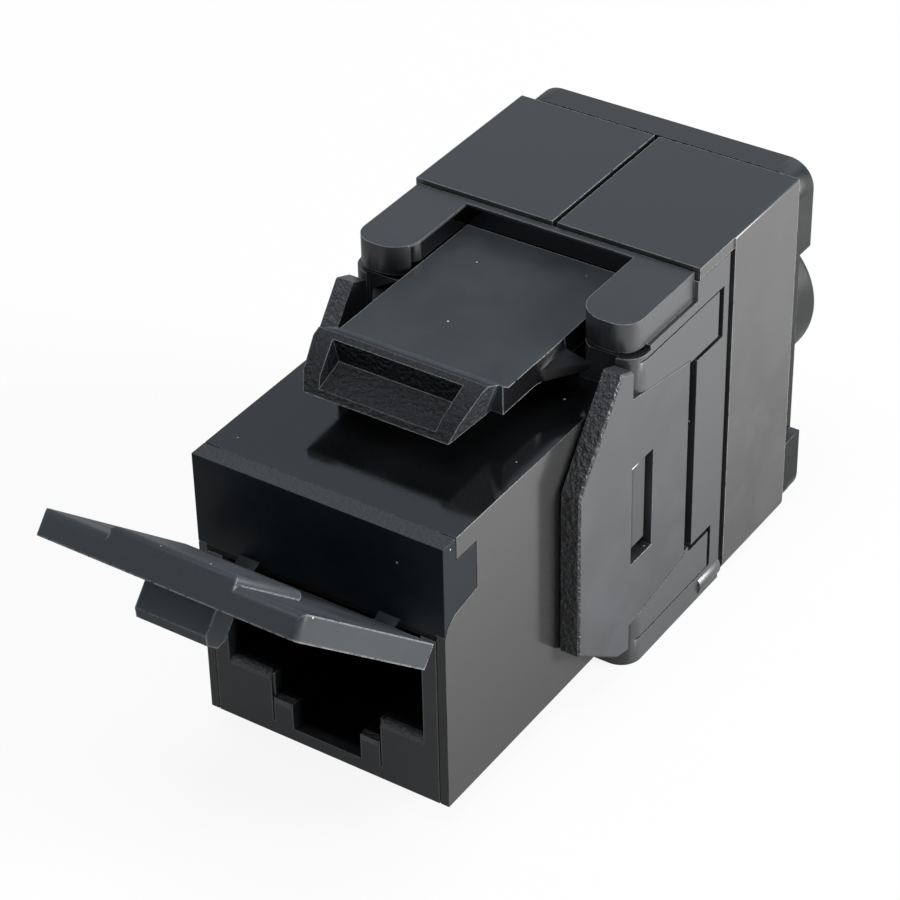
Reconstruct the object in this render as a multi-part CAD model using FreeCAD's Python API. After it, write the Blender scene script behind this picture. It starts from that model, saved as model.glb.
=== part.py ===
"""Keystone jack with a dust flap, a sprung latch and two opening rear covers.

Millimetres. X runs across the jack, Y from the plug opening to the cable end, Z up.
Sizes are set out from the middle of the front face's lower edge. save() then moves
every piece so that the row's origin is the middle of the underside of the keystone frame.
"""
import FreeCAD, Part
import math
import os

V = FreeCAD.Vector

# ---------------------------------------------------------------- front block
PORT_W = 11.7             # standard 8-contact socket, which sets the block's width
PORT_WALL = 1.4           # block's side beside the port
BODY_H = 15.8             # height of the block that passes through the panel
SLEEVE_WALL = 0.5
SLEEVE_ROOF = 1.2
SLEEVE_DEPTH = 21.0
FIT = 0.05                # clearance between pieces that sit in one another

PANEL_DROP = 5.6          # front insert above the plug opening
PANEL_THICK = 1.05
PANEL_PROUD = 0.2         # its face beyond the block's face, along its top edge
PANEL_LEAN = 5.0          # degrees, so that its lower edge stands out further
PANEL_TOP_BEVEL = 0.6
PANEL_SIDE_BEVEL = 0.4
PANEL_UNDERCUT = 0.5      # height of the undercut over the flap's hinge
ARM_REACH = 2.75          # its arms in the block's sides
ARM_LOW = 1.3             # above the insert's lower edge
ARM_HIGH = 4.3

INSERT_DEPTH = 16.9       # moulding with the plug opening
PORT_SHOULDER = 3.75      # height of the two shoulders beside the latch slot
PORT_DEPTH = 13.0
PORT_CEILING = 0.7
STEP_W = 6.4
STEP_Z = 2.35
STEP_SEAM = 0.1           # grooves between the shoulders and the steps
KEY_W = 4.1
KEY_Z = 0.76
KEY_DEPTH = 11.0
SHOULDER_R = 0.35
HOOK_W = 7.0              # fixed hook under the block
HOOK_Y = 7.9
HOOK_DEPTH = 1.4

# ---------------------------------------------------------------- dust flap
FLAP_LEN = 13.55          # hinge axis to free edge
FLAP_REAR = 0.8           # hinge axis to the plate's rear edge
FLAP_THICK = 1.3
FLAP_GAP = 0.1            # closed flap to front face
FLAP_OPEN = 130.8         # degrees from closed, as it rests
FLAP_R = 0.4              # rounding of the free end
HINGE_DROP = 0.3          # hinge axis below the insert's lower edge
HINGE_PIN_R = 0.3
HINGE_RUN = 0.04          # running clearance of hinge pins
BARREL_R = 0.55           # hinge barrel in the middle of the flap
BARREL_W = 6.8
BARREL_WEB = 0.9          # thickness between the barrel and the plate
EYE_R = 0.5               # eyes of the front insert, one at each end of the barrel
EYE_W = 1.2
EYE_GAP = 0.1
PAD_W = 7.0               # thicker middle of the flap's free end
PAD_RISE = 0.45
PAD_FROM = 7.6
PAD_R = 0.3
CATCH_W = 4.0             # catch that closes under the block
CATCH_LEN = 1.85
CATCH_THICK = 1.7
CATCH_CLEAR = 0.15
CATCH_BEVEL = 0.4

# ---------------------------------------------------------------- keystone frame
FRAME_SIDE = 1.25         # frame's side beyond the block
FRAME_FRONT = 15.1
FRAME_DEPTH = 9.4
FRAME_RISE = 4.0          # above the block
FRAME_BOTTOM = -1.4
FRAME_CORNER_R = 1.2
EAR_THICK = 1.65
EAR_SET = 0.25            # ear's side behind the frame's side
EAR_R = 1.6
EAR_SHADOW = 0.3          # line between an ear and the web below it
EAR_SHADOW_DEEP = 1.5
WEB_BACK = 0.25
POCKET_DEPTH = 5.75
POCKET_FLOOR = 0.6        # left above the block
COVER_STEP = 6.15         # the covers' tops start this far behind the frame's front
GROOVE = 0.3
GROOVE_DEEP = 0.9
BAR_DEPTH = 8.4           # upper and lower bars of the frame's side
BAR_GROOVE = 0.5
BAR_FOOT = 0.2            # lower edge of the lower bar
FINE_LINE = 0.1
FINE_DEEP = 0.15

# ---------------------------------------------------------------- latch
TONGUE_W = 9.8
TONGUE_SINK = 1.2         # tongue's top below the ears' top
TONGUE_THICK = 1.3
TONGUE_GAP = 0.08         # either side and behind
BARB_W = 12.8
BARB_LEN = 2.35
BARB_TIP = 0.1
BARB_AHEAD = 0.75         # barbs' rear in front of the frame
BARB_R = 1.2
LIP_REACH = 10.0          # lip's toe in front of the frame
LIP_DEPTH = 4.2
LIP_RISE = 1.05           # lip above the tongue
LIP_BOTTOM_W = 8.4
LIP_TOP_W = 9.8
LIP_RAISE = 0.2           # its underside above the tongue's
TOE_RUN = 0.5             # low front of the toe
TOE_H = 0.9
CREST_BEVEL = 0.15
CREST_W = 0.4
RECESS_RIM = 0.9
RECESS_WALL = 2.05        # lip's toe to the recess's back wall
TOE_RISE = 0.85           # the toe's slope inside the recess
ROOT_AHEAD = 1.35         # root's axis in front of the pocket's rear wall
ROOT_R = 0.55
ROOT_CLEAR = 0.05

# ---------------------------------------------------------------- side clips
CLIP_GAP = 0.15           # clip to block
CLIP_AHEAD = 5.05         # clip's front edge in front of the frame
CLIP_DEPTH = 5.55         # and its rear edge behind the frame's front
CLIP_BEVEL = 0.12
CLIP_LOW_CORNER = 3.0
CLIP_HIGH_CORNER = 2.95   # below the block's top
CLIP_NOSE = 1.15          # its upper and lower tips end this far in front of the frame
CLIP_TIP_DROP = 0.25
CLIP_SHELF_DROP = 0.65
CLIP_LOW = 1.66
CLIP_TAPER = 0.95
SLOT_DEPTH = 2.08
SLOT_Z = 5.57
SLOT_H = 6.08
NUB_OUT = 1.05
NUB_SIDE = 0.22
NUB_BELOW = 0.55
NUB_R = 0.35
SLOT_END = 0.75           # slot left behind a clip

# ---------------------------------------------------------------- covers and rear cap
COVER_OVER = 0.2          # covers' tops above the ears
COVER_WALL = 0.65
COVER_PROUD = 0.07        # cover's side beyond the frame's side
COVER_LAP = 3.1           # cover's top over the frame
COVER_GAP = 0.4           # cover's side to the frame
COVER_DEPTH = 7.2         # cover's rear edge behind the frame
COVER_SEAM = 0.3
COVER_R = 0.15
COVER_KNUCKLE_R = 0.65
COVER_PIN_R = 0.35
COVER_PIN_RISE = 0.75     # above the frame's underside
COVER_PIN_SEAT = 1.2      # pin's length in the frame and in the cap
BOSS_LEN = 2.2            # hinge boss on the frame's lower rear corner
PUSHER_H = 1.4
PUSHER_GAP = 0.15
PUSHER_FRONT = 1.0        # behind the wire block's front
PUSHER_REAR = 0.4         # in front of its rear
CAP_GAP = 0.1
CAP_THICK = 1.7
CAP_R = 1.5
CAP_NOTCH = 0.58          # finger notches in the cap's sides, over the covers' rear edges
CAP_NOTCH_LOW = 4.4       # from the underside
CAP_NOTCH_HIGH = 4.8      # from the top
COLLAR_R = 4.4
COLLAR_OFF = 3.1          # its two half rounds lie this far either side of the middle
COLLAR_LEN = 3.4
COLLAR_EDGE_R = 0.6
CABLE_R = 3.2
POST_W = 2.0              # posts between the cap and the wire block
POST_IN = 1.0
SINK = 0.5                # overlap of fused parts of one moulding

# ---------------------------------------------------------------- inner pieces
CONTACTS = 8
CONTACT_PITCH = 1.02
CONTACT_W = 0.4
CONTACT_T = 0.3
CONTACT_RUN_Z = 1.4       # straight run above the port's ceiling line
CONTACT_BEND_Y = 3.4
CONTACT_BEND_RUN = 0.6
CONTACT_BEND_DROP = 0.45
CONTACT_FALL = 1.2        # the slope down into the port starts this far below the run
CONTACT_LEAN = 0.1
CONTACT_TIP_Y = 10.6
CONTACT_TIP_DROP = 1.95
CONTACT_NOSE = 1.2        # turned-up end
CONTACT_NOSE_RISE = 0.15
CARRIER_SIDE = 5.9
CARRIER_FRONT = 2.1
CARRIER_TOP_GAP = 0.2
BOARD_THICK = 1.2
BOARD_EDGE = 0.15
IDC_SIDE_GAP = 0.15       # wire block inside the block's width
IDC_GAP = 0.1             # wire block behind the frame
IDC_DEPTH = 4.8
IDC_DROP = 0.7            # wire block's top below the ears' top
IDC_RAISE = 0.8           # its underside above the frame's
FLOOR_RAISE = 0.1         # chamber's floor above the underside
IDC_ROWS = 4
IDC_FIRST_Z = 2.2
IDC_LAST_DROP = 1.9       # last row below the block's top
WIRE_SLOT_H = 1.1
WIRE_SLOT_DEEP = 2.7
WIRE_SLOT_FRONT = 0.8
BLADE_BACK = 2.5          # blade behind the wire block's front
BLADE_T = 0.4
BLADE_H = 2.4
BLADE_REACH = 3.7
BLADE_MOUTH = 0.6
BLADE_ROOT = 0.8
BLADE_TIP_BACK = 0.5
BLADE_KERF = 0.35
TAIL_W = 0.5
TAIL_H = 0.6

# ---------------------------------------------------------------- worked out
BODY_W = PORT_W + 2 * PORT_WALL
HALF = BODY_W / 2
FRAME_HALF = HALF + FRAME_SIDE
FRAME_TOP = BODY_H + FRAME_RISE
FRAME_REAR = FRAME_FRONT + FRAME_DEPTH
PANEL_LOW = BODY_H - PANEL_DROP
SLEEVE_IN = HALF - SLEEVE_WALL
ROOF_LOW = BODY_H - SLEEVE_ROOF
HINGE_Y = -FLAP_GAP - FLAP_THICK / 2
HINGE_Z = PANEL_LOW - HINGE_DROP
EYE_IN = BARREL_W / 2 + EYE_GAP
EYE_OUT = EYE_IN + EYE_W
CLIP_IN = HALF + CLIP_GAP
CLIP_FRONT = FRAME_FRONT - CLIP_AHEAD
CLIP_REAR = FRAME_FRONT + CLIP_DEPTH
SLOT_Y = FRAME_FRONT - FIT
SLOT_REAR_Y = CLIP_REAR + SLOT_END
EAR_LOW = FRAME_TOP - EAR_THICK
EAR_INNER_X = TONGUE_W / 2 + TONGUE_GAP
POCKET_REAR = FRAME_FRONT + POCKET_DEPTH
BAR_REAR = FRAME_FRONT + BAR_DEPTH
FLOOR_TOP = BODY_H + POCKET_FLOOR
TONGUE_TOP = FRAME_TOP - TONGUE_SINK
TONGUE_LOW = TONGUE_TOP - TONGUE_THICK
BARB_REAR = FRAME_FRONT - BARB_AHEAD
BARB_FRONT = BARB_REAR - BARB_LEN
LIP_FRONT = FRAME_FRONT - LIP_REACH
LIP_BACK = LIP_FRONT + LIP_DEPTH
ROOT_Y = POCKET_REAR - ROOT_AHEAD
ROOT_Z = FLOOR_TOP + ROOT_CLEAR + ROOT_R
COVER_TOP = FRAME_TOP + COVER_OVER
COVER_STEP_Y = FRAME_FRONT + COVER_STEP
COVER_SIDE = FRAME_HALF + COVER_PROUD
COVER_FRONT = FRAME_REAR - COVER_LAP
COVER_SIDE_FRONT = FRAME_REAR + COVER_GAP
COVER_REAR = FRAME_REAR + COVER_DEPTH
COVER_PIN_X = COVER_SIDE - COVER_KNUCKLE_R
COVER_PIN_Z = FRAME_BOTTOM + COVER_PIN_RISE
CAP_FRONT = COVER_REAR + CAP_GAP
CAP_REAR = CAP_FRONT + CAP_THICK
COLLAR_Z = (FRAME_TOP + FRAME_BOTTOM) / 2
COLLAR_REAR = CAP_REAR + COLLAR_LEN
CEILING_TOP = PANEL_LOW + PORT_CEILING
BOARD_Y = INSERT_DEPTH + FIT
IDC_HALF_W = HALF - IDC_SIDE_GAP
IDC_FRONT = FRAME_REAR + IDC_GAP
IDC_REAR = IDC_FRONT + IDC_DEPTH
IDC_TOP = FRAME_TOP - IDC_DROP
IDC_BOTTOM = FRAME_BOTTOM + IDC_RAISE
IDC_PITCH = (BODY_H - IDC_LAST_DROP - IDC_FIRST_Z) / (IDC_ROWS - 1)
BLADE_Y = IDC_FRONT + BLADE_BACK
BLADE_X = IDC_HALF_W - BLADE_REACH
REFERENCE = V(0, (FRAME_FRONT + FRAME_REAR) / 2, FRAME_BOTTOM)


# ---------------------------------------------------------------- helpers
def box(x0, x1, y0, y1, z0, z1):
    return Part.makeBox(x1 - x0, y1 - y0, z1 - z0, V(x0, y0, z0))


def prism_x(points, x0, x1, grow=0.0):
    """A (y, z) outline, grown by a clearance, from x0 to x1."""
    wire = Part.makePolygon([V(x0, y, z) for y, z in points + points[:1]])
    face = Part.Face(wire)
    if grow:
        face = face.makeOffset2D(grow, 2)
    return face.extrude(V(x1 - x0, 0, 0))


def prism_y(points, y0, y1):
    wire = Part.makePolygon([V(x, y0, z) for x, z in points + points[:1]])
    return Part.Face(wire).extrude(V(0, y1 - y0, 0))


def prism_z(points, z0, z1):
    wire = Part.makePolygon([V(x, y, z0) for x, y in points + points[:1]])
    return Part.Face(wire).extrude(V(0, 0, z1 - z0))


def rod_x(r, x0, x1, y, z):
    return Part.makeCylinder(r, x1 - x0, V(x0, y, z), V(1, 0, 0))


def rod_y(r, y0, y1, x, z):
    return Part.makeCylinder(r, y1 - y0, V(x, y0, z), V(0, 1, 0))


def ribbon(points, thick):
    """Outline of a strip of even thickness along (y, z) points, with mitred bends."""
    left, right = [], []
    for i, (y, z) in enumerate(points):
        before = points[max(i - 1, 0)]
        after = points[min(i + 1, len(points) - 1)]
        ways = []
        for a, b in ((before, (y, z)), ((y, z), after)):
            length = math.hypot(b[0] - a[0], b[1] - a[1])
            if length:
                ways.append((-(b[1] - a[1]) / length, (b[0] - a[0]) / length))
        ny = sum(w[0] for w in ways) / len(ways)
        nz = sum(w[1] for w in ways) / len(ways)
        k = thick / 2 / (ny * ny + nz * nz)
        left.append((y + ny * k, z + nz * k))
        right.append((y - ny * k, z - nz * k))
    return left + right[::-1]


def near(value, wanted):
    return abs(value - wanted) < 1e-4


def edges(shape, test):
    """The straight or round edges whose middle point passes the test."""
    found = []
    for edge in shape.Edges:
        first, last = edge.ParameterRange
        if test(edge.valueAt((first + last) / 2), edge):
            found.append(edge)
    return found


def upright(edge):
    a, b = edge.Vertexes[0].Point, edge.Vertexes[-1].Point
    return near(a.x, b.x) and near(a.y, b.y)


def mirrored(shape):
    return shape.mirror(V(0, 0, 0), V(1, 0, 0))


def both_sides(shape):
    return shape.fuse(mirrored(shape))


def save(name, shape):
    solid = shape.removeSplitter().translated(REFERENCE * -1)
    solid.exportStep("parts/%s.step" % name)


# ---------------------------------------------------------------- front block
def panel_arms():
    """Side outline of the arms that hold the front insert in the block's walls."""
    low, high = PANEL_LOW + ARM_LOW, PANEL_LOW + ARM_HIGH
    return [(0, PANEL_LOW + ARM_LOW / 4), (PANEL_THICK / 5, low - ARM_LOW / 3), (0.8 * PANEL_THICK, low),
            (ARM_REACH, low + ARM_LOW / 4), (ARM_REACH, high), (PANEL_THICK, high),
            (PANEL_THICK, BODY_H), (0, BODY_H)]


def front_housing():
    block = box(-HALF, HALF, 0, SLEEVE_DEPTH, 0, BODY_H)
    block = block.cut(box(-SLEEVE_IN, SLEEVE_IN, -1, SLEEVE_DEPTH + 1, -1, ROOF_LOW))
    block = block.cut(box(-HALF - 1, HALF + 1, -1, PANEL_THICK, ROOF_LOW, BODY_H + 1))
    side = prism_x(panel_arms(), SLEEVE_IN - SLEEVE_WALL, HALF + 1, FIT)
    block = block.cut(both_sides(side))
    nub = box(HALF - SLEEVE_WALL / 2, HALF + NUB_OUT, SLOT_Y + NUB_SIDE, SLOT_Y + SLOT_DEPTH - NUB_SIDE,
              SLOT_Z + NUB_BELOW, SLOT_Z + SLOT_H - NUB_SIDE)
    nub = nub.makeFillet(NUB_R, edges(nub, lambda p, e: near(p.x, HALF + NUB_OUT)))
    return block.fuse(both_sides(nub))


def port_insert():
    half = SLEEVE_IN - FIT
    body = box(-half, half, 0, INSERT_DEPTH, 0, ROOF_LOW - FIT)
    body = body.cut(box(-half - 1, half + 1, -1, PANEL_THICK + FIT, PANEL_LOW - FIT, BODY_H))
    w, s, k = PORT_W / 2, STEP_W / 2, KEY_W / 2
    top = PANEL_LOW + FIT
    body = body.cut(box(-w, w, -1, PORT_DEPTH, PORT_SHOULDER, top))
    body = body.cut(box(-s, s, -1, PORT_DEPTH, STEP_Z, top))
    rim = edges(body, lambda p, e: near(p.y, 0) and near(p.z, PORT_SHOULDER))
    body = body.makeFillet(SHOULDER_R, rim)
    body = body.cut(box(-k, k, -1, KEY_DEPTH, KEY_Z, top))
    seam = box(s, s + STEP_SEAM, -1, 2 * STEP_SEAM, KEY_Z, PORT_SHOULDER)
    body = body.cut(both_sides(seam))
    # room for the contacts above the port, open to it through its ceiling
    side, front = CARRIER_SIDE + FIT, CARRIER_FRONT - FIT
    body = body.cut(box(-side, side, front, INSERT_DEPTH + 1, CEILING_TOP, BODY_H))
    span = CONTACTS * CONTACT_PITCH / 2 + CONTACT_W / 2
    body = body.cut(box(-span, span, front + CONTACT_T, PORT_DEPTH, PANEL_LOW - 1, CEILING_TOP + 1))
    w = HOOK_W / 2
    rear = HOOK_Y + HOOK_DEPTH
    hook = prism_x([(HOOK_Y, 0), (HOOK_Y + HOOK_DEPTH / 2, FRAME_BOTTOM), (rear, FRAME_BOTTOM),
                    (rear, KEY_Z / 2), (HOOK_Y, KEY_Z / 2)], -w, w)
    return body.fuse(hook)


def panel_face():
    """Bevelled face of the front insert, leaning out over the flap's hinge."""
    low, high = PANEL_LOW + PANEL_UNDERCUT, BODY_H
    side = [(1, low), (-PANEL_PROUD, low), (-PANEL_PROUD, high - PANEL_TOP_BEVEL), (0, high), (1, high)]
    face = prism_x(side, -HALF, HALF)
    inner, out = HALF - PANEL_SIDE_BEVEL, -PANEL_PROUD
    corner = prism_z([(inner, out), (HALF, 0), (HALF + 1, 0), (HALF + 1, out - 1), (inner, out - 1)],
                     low - 1, high + 1)
    face = face.cut(both_sides(corner))
    face.rotate(V(0, 0, high), V(1, 0, 0), PANEL_LEAN)
    return face.common(box(-HALF, HALF, -2, 0, PANEL_LOW, high))


def front_panel():
    half = SLEEVE_IN - FIT
    plate = box(-half, half, 0, PANEL_THICK, PANEL_LOW, BODY_H)
    arms = prism_x(panel_arms(), half, HALF)
    plate = plate.fuse(both_sides(arms)).fuse(panel_face())
    eye = rod_x(EYE_R, EYE_IN, EYE_OUT, HINGE_Y, HINGE_Z)
    neck = prism_x([(HINGE_Y - EYE_R * 0.2, HINGE_Z + EYE_R * 0.9), (HINGE_Y, HINGE_Z - EYE_R),
                    (HINGE_Y + EYE_R, HINGE_Z - EYE_R * 0.4), (0, PANEL_LOW), (0, PANEL_LOW + EYE_R)],
                   EYE_IN, EYE_OUT)
    plate = plate.fuse(both_sides(eye.fuse(neck)))
    return plate.cut(rod_x(HINGE_PIN_R, -HALF, HALF, HINGE_Y, HINGE_Z))


# ---------------------------------------------------------------- dust flap
def dust_flap():
    """Drawn hanging closed in front of the face, then swung open about its hinge."""
    half = HALF
    out_y, in_y = -FLAP_GAP - FLAP_THICK, -FLAP_GAP
    top, low = HINGE_Z - FLAP_REAR, HINGE_Z - FLAP_LEN
    plate = box(-half, half, out_y, in_y, low, top)
    corners = edges(plate, lambda p, e: near(p.z, low) and (near(p.y, out_y) or near(abs(p.x), half)))
    plate = plate.makeFillet(FLAP_R, corners)
    pad = box(-PAD_W / 2, PAD_W / 2, out_y - PAD_RISE, in_y, low, HINGE_Z - PAD_FROM)
    pad = pad.makeFillet(PAD_R, edges(pad, lambda p, e: near(p.y, out_y - PAD_RISE)))
    c = CATCH_W / 2
    catch_top = -CATCH_CLEAR
    catch_low, tip = catch_top - CATCH_THICK, in_y + CATCH_LEN
    catch = prism_x([(in_y - PAD_RISE, catch_low), (in_y - PAD_RISE, catch_top),
                     (tip - CATCH_BEVEL, catch_top), (tip, catch_top - CATCH_BEVEL),
                     (tip, catch_low + CATCH_BEVEL), (tip - CATCH_BEVEL, catch_low)], -c, c)
    barrel = rod_x(BARREL_R, -BARREL_W / 2, BARREL_W / 2, HINGE_Y, HINGE_Z)
    web = box(-BARREL_W / 2, BARREL_W / 2, HINGE_Y - BARREL_WEB / 2, HINGE_Y + BARREL_WEB / 2,
              top - SINK, HINGE_Z)
    flap = plate.fuse(pad).fuse(catch).fuse(barrel).fuse(web).removeSplitter()
    flap = flap.cut(rod_x(HINGE_PIN_R + HINGE_RUN, -half, half, HINGE_Y, HINGE_Z))
    flap.rotate(V(0, HINGE_Y, HINGE_Z), V(1, 0, 0), -FLAP_OPEN)
    return flap


def flap_hinge_pin():
    return rod_x(HINGE_PIN_R, -EYE_OUT, EYE_OUT, HINGE_Y, HINGE_Z)


# ---------------------------------------------------------------- side clips
def clip_outline():
    """Outline of a side clip, (y, z): cut corners in front, a hook above and below."""
    top, low = BODY_H + FIT, CLIP_LOW
    nose, shelf = FRAME_FRONT - CLIP_NOSE, FRAME_FRONT - 2 * FIT
    return [(CLIP_FRONT, CLIP_LOW_CORNER), (CLIP_FRONT, BODY_H - CLIP_HIGH_CORNER),
            (nose, EAR_LOW - CLIP_TIP_DROP), (shelf, EAR_LOW - CLIP_SHELF_DROP), (shelf, top),
            (CLIP_REAR, top - CLIP_TAPER), (CLIP_REAR, low + CLIP_TAPER), (shelf, low), (shelf, 0.0),
            (nose, CLIP_TIP_DROP)]


def side_clip():
    clip = prism_x(clip_outline(), CLIP_IN, FRAME_HALF)
    fronts = edges(clip, lambda p, e: p.y < FRAME_FRONT - CLIP_NOSE / 2 and near(p.x, FRAME_HALF))
    clip = clip.makeChamfer(CLIP_BEVEL, fronts)
    slot = box(CLIP_IN - 1, FRAME_HALF + 1, SLOT_Y, SLOT_Y + SLOT_DEPTH, SLOT_Z, SLOT_Z + SLOT_H)
    return clip.cut(slot)


# ---------------------------------------------------------------- keystone frame
def keystone_frame():
    w, front = FRAME_HALF, FRAME_FRONT - 1
    ring = box(-w, w, FRAME_FRONT, FRAME_REAR, FRAME_BOTTOM, FRAME_TOP)
    ring = ring.makeFillet(FRAME_CORNER_R, edges(ring, lambda p, e: near(p.y, FRAME_FRONT) and upright(e)))
    tunnel = HALF + FIT
    ring = ring.cut(box(-tunnel, tunnel, front, FRAME_REAR + 1, -FIT, BODY_H + FIT))
    # pocket of the latch, between the two ears
    ring = ring.cut(box(-EAR_INNER_X, EAR_INNER_X, front, POCKET_REAR, FLOOR_TOP, FRAME_TOP + 1))
    mouth = edges(ring, lambda p, e: near(p.y, FRAME_FRONT) and near(abs(p.x), EAR_INNER_X) and upright(e))
    ring = ring.makeFillet(EAR_R, mouth).cut(both_sides(ear_trim()))
    # below each ear: a web that stands back, a shadow line, and the bar of the side
    web = box(0, CLIP_IN, front, FRAME_FRONT + WEB_BACK, BODY_H - 1, EAR_LOW)
    shadow = box(0, w + 1, front, FRAME_FRONT + EAR_SHADOW_DEEP, EAR_LOW - EAR_SHADOW, EAR_LOW)
    ring = ring.cut(both_sides(web)).cut(both_sides(shadow))
    # the covers' tops lie in a step at the rear
    step = box(-w - 1, w + 1, COVER_STEP_Y, FRAME_REAR + 1, COVER_TOP - COVER_WALL - FIT, FRAME_TOP + 1)
    ring = ring.cut(step).cut(both_sides(clip_pocket().fuse(side_grooves())))
    boss = rod_y(COVER_PIN_RISE, FRAME_REAR - BOSS_LEN, FRAME_REAR, COVER_PIN_X, COVER_PIN_Z)
    pins = rod_y(COVER_PIN_R, FRAME_REAR - COVER_PIN_SEAT, FRAME_REAR + 1, COVER_PIN_X, COVER_PIN_Z)
    return ring.fuse(both_sides(boss)).cut(both_sides(pins))


def ear_trim():
    """What an ear lacks at its outer side, down to its underside."""
    out = FRAME_HALF - EAR_SET
    ear = box(0, out, FRAME_FRONT, COVER_STEP_Y, EAR_LOW, FRAME_TOP + 1)
    ear = ear.makeFillet(FRAME_CORNER_R, edges(ear, lambda p, e: near(p.x, out) and near(p.y, FRAME_FRONT)
                                               and upright(e)))
    start = out - FRAME_CORNER_R
    return box(start, FRAME_HALF + 1, FRAME_FRONT - 1, COVER_STEP_Y, EAR_LOW, FRAME_TOP + 1).cut(ear)


def clip_pocket():
    """Room for a side clip, and the open slot that is left behind it."""
    outline = clip_outline()
    pocket = prism_x(outline, CLIP_IN - 1, FRAME_HALF + 1, FIT)
    high, low = outline[5][1], outline[6][1]
    slot = box(CLIP_IN - 1, FRAME_HALF + 1, CLIP_REAR - SLOT_END, SLOT_REAR_Y, low + 2 * FINE_LINE,
               high - FINE_LINE)
    return pocket.fuse(slot)


def side_grooves():
    """Grooves behind and beside the upper and lower bars of the frame's side."""
    deep, out = FRAME_HALF - GROOVE_DEEP, FRAME_HALF + 1
    high, low = clip_outline()[5][1], clip_outline()[6][1]
    end, start = BAR_REAR + BAR_GROOVE, SLOT_REAR_Y - GROOVE
    bar_top, fine = EAR_LOW - CLIP_SHELF_DROP, FRAME_HALF - FINE_DEEP
    grooves = [(deep, BAR_REAR, end, high - GROOVE, bar_top),
               (deep, start, end, high - GROOVE - FINE_LINE, high - FINE_LINE),
               (deep, BAR_REAR - GROOVE, BAR_REAR, BAR_FOOT, low),
               (deep, start, BAR_REAR, low - FINE_LINE, low + GROOVE - FINE_LINE),
               (fine, FRAME_FRONT - 1, end, bar_top, bar_top + FINE_LINE),
               (fine, FRAME_FRONT - 1, BAR_REAR, BAR_FOOT - FINE_LINE, BAR_FOOT)]
    cuts = [box(x, out, y0, y1, z0, z1) for x, y0, y1, z0, z1 in grooves]
    return cuts[0].fuse(cuts[1:])


# ---------------------------------------------------------------- latch
def latch_lever():
    half, tip = TONGUE_W / 2, BARB_W / 2
    rear, front = POCKET_REAR - TONGUE_GAP, LIP_BACK - SINK
    outline = [(-half, front), (half, front), (half, BARB_FRONT), (tip, BARB_REAR - BARB_TIP),
               (tip, BARB_REAR), (half, BARB_REAR), (half, rear), (-half, rear),
               (-half, BARB_REAR), (-tip, BARB_REAR), (-tip, BARB_REAR - BARB_TIP), (-half, BARB_FRONT)]
    tongue = prism_z(outline, TONGUE_LOW, TONGUE_TOP)
    bends = edges(tongue, lambda p, e: upright(e) and near(abs(p.x), half) and near(p.y, BARB_FRONT))
    tongue = tongue.makeFillet(BARB_R, bends)
    lever = tongue.fuse(latch_lip())
    root = rod_x(ROOT_R, -half, half, ROOT_Y, ROOT_Z)
    stem = box(-half, half, ROOT_Y - ROOT_R, ROOT_Y + ROOT_R, ROOT_Z, TONGUE_TOP - TONGUE_THICK / 2)
    return lever.fuse(root).fuse(stem)


def latch_lip():
    """Finger lip: a wedge with a rough toe, a crest, and a scoop between them for the fingertip."""
    low, crest = TONGUE_LOW + LIP_RAISE, TONGUE_TOP + LIP_RISE
    top, bottom = LIP_TOP_W / 2, LIP_BOTTOM_W / 2
    wall = LIP_FRONT + RECESS_WALL
    side = [(LIP_FRONT, low), (LIP_FRONT + TOE_RUN, low + TOE_H), (wall - CREST_BEVEL, crest - CREST_BEVEL),
            (wall + CREST_W, crest), (LIP_BACK - SINK, TONGUE_TOP + LIP_RISE / 3),
            (LIP_BACK, TONGUE_TOP), (LIP_BACK, TONGUE_LOW), (LIP_BACK - 1, TONGUE_LOW)]
    lip = prism_x(side, -top, top)
    corner = prism_y([(bottom, low - 1), (bottom, low), (top, crest), (top + 1, crest), (top + 1, low - 1)],
                     LIP_FRONT - 1, LIP_BACK - SINK)
    lip = lip.cut(both_sides(corner))
    # the scoop's sides slope with the lip's own sides
    in_top, in_low = top - RECESS_RIM, bottom - RECESS_RIM
    toe = low + TOE_RISE / 3
    scoop = prism_x([(LIP_FRONT - 1, toe), (LIP_FRONT, toe), (wall, low + TOE_RISE), (wall, crest + 1),
                     (LIP_FRONT - 1, crest + 1)], -top, top)
    room = prism_y([(-in_low, low), (in_low, low), (in_top, crest + 1), (-in_top, crest + 1)],
                   LIP_FRONT - 1, LIP_BACK)
    return lip.cut(scoop.common(room))


# ---------------------------------------------------------------- rear covers
def rear_cover():
    """Right cover: side wall, top wall and the knuckle along its lower edge."""
    side = box(COVER_SIDE - COVER_WALL, COVER_SIDE, COVER_SIDE_FRONT, COVER_REAR, COVER_PIN_Z, COVER_TOP)
    top = box(COVER_SEAM / 2, COVER_SIDE, COVER_FRONT, COVER_REAR, COVER_TOP - COVER_WALL, COVER_TOP)
    top = top.cut(box(FRAME_HALF, COVER_SIDE + 1, COVER_FRONT - 1, COVER_SIDE_FRONT, 0, COVER_TOP + 1))
    cover = side.fuse(top).removeSplitter()
    long_edge = edges(cover, lambda p, e: near(p.x, COVER_SIDE) and near(p.z, COVER_TOP))
    cover = cover.makeFillet(COVER_R, long_edge)
    knuckle = rod_y(COVER_KNUCKLE_R, COVER_SIDE_FRONT, COVER_REAR, COVER_PIN_X, COVER_PIN_Z)
    cover = cover.fuse(knuckle)
    for z in idc_rows():
        cover = cover.fuse(box(IDC_HALF_W + PUSHER_GAP, COVER_SIDE - COVER_WALL / 2, IDC_FRONT + PUSHER_FRONT,
                               IDC_REAR - PUSHER_REAR, z - PUSHER_H / 2, z + PUSHER_H / 2))
    hole = rod_y(COVER_PIN_R + HINGE_RUN, COVER_SIDE_FRONT - 1, COVER_REAR + 1, COVER_PIN_X, COVER_PIN_Z)
    return cover.cut(hole)


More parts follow.
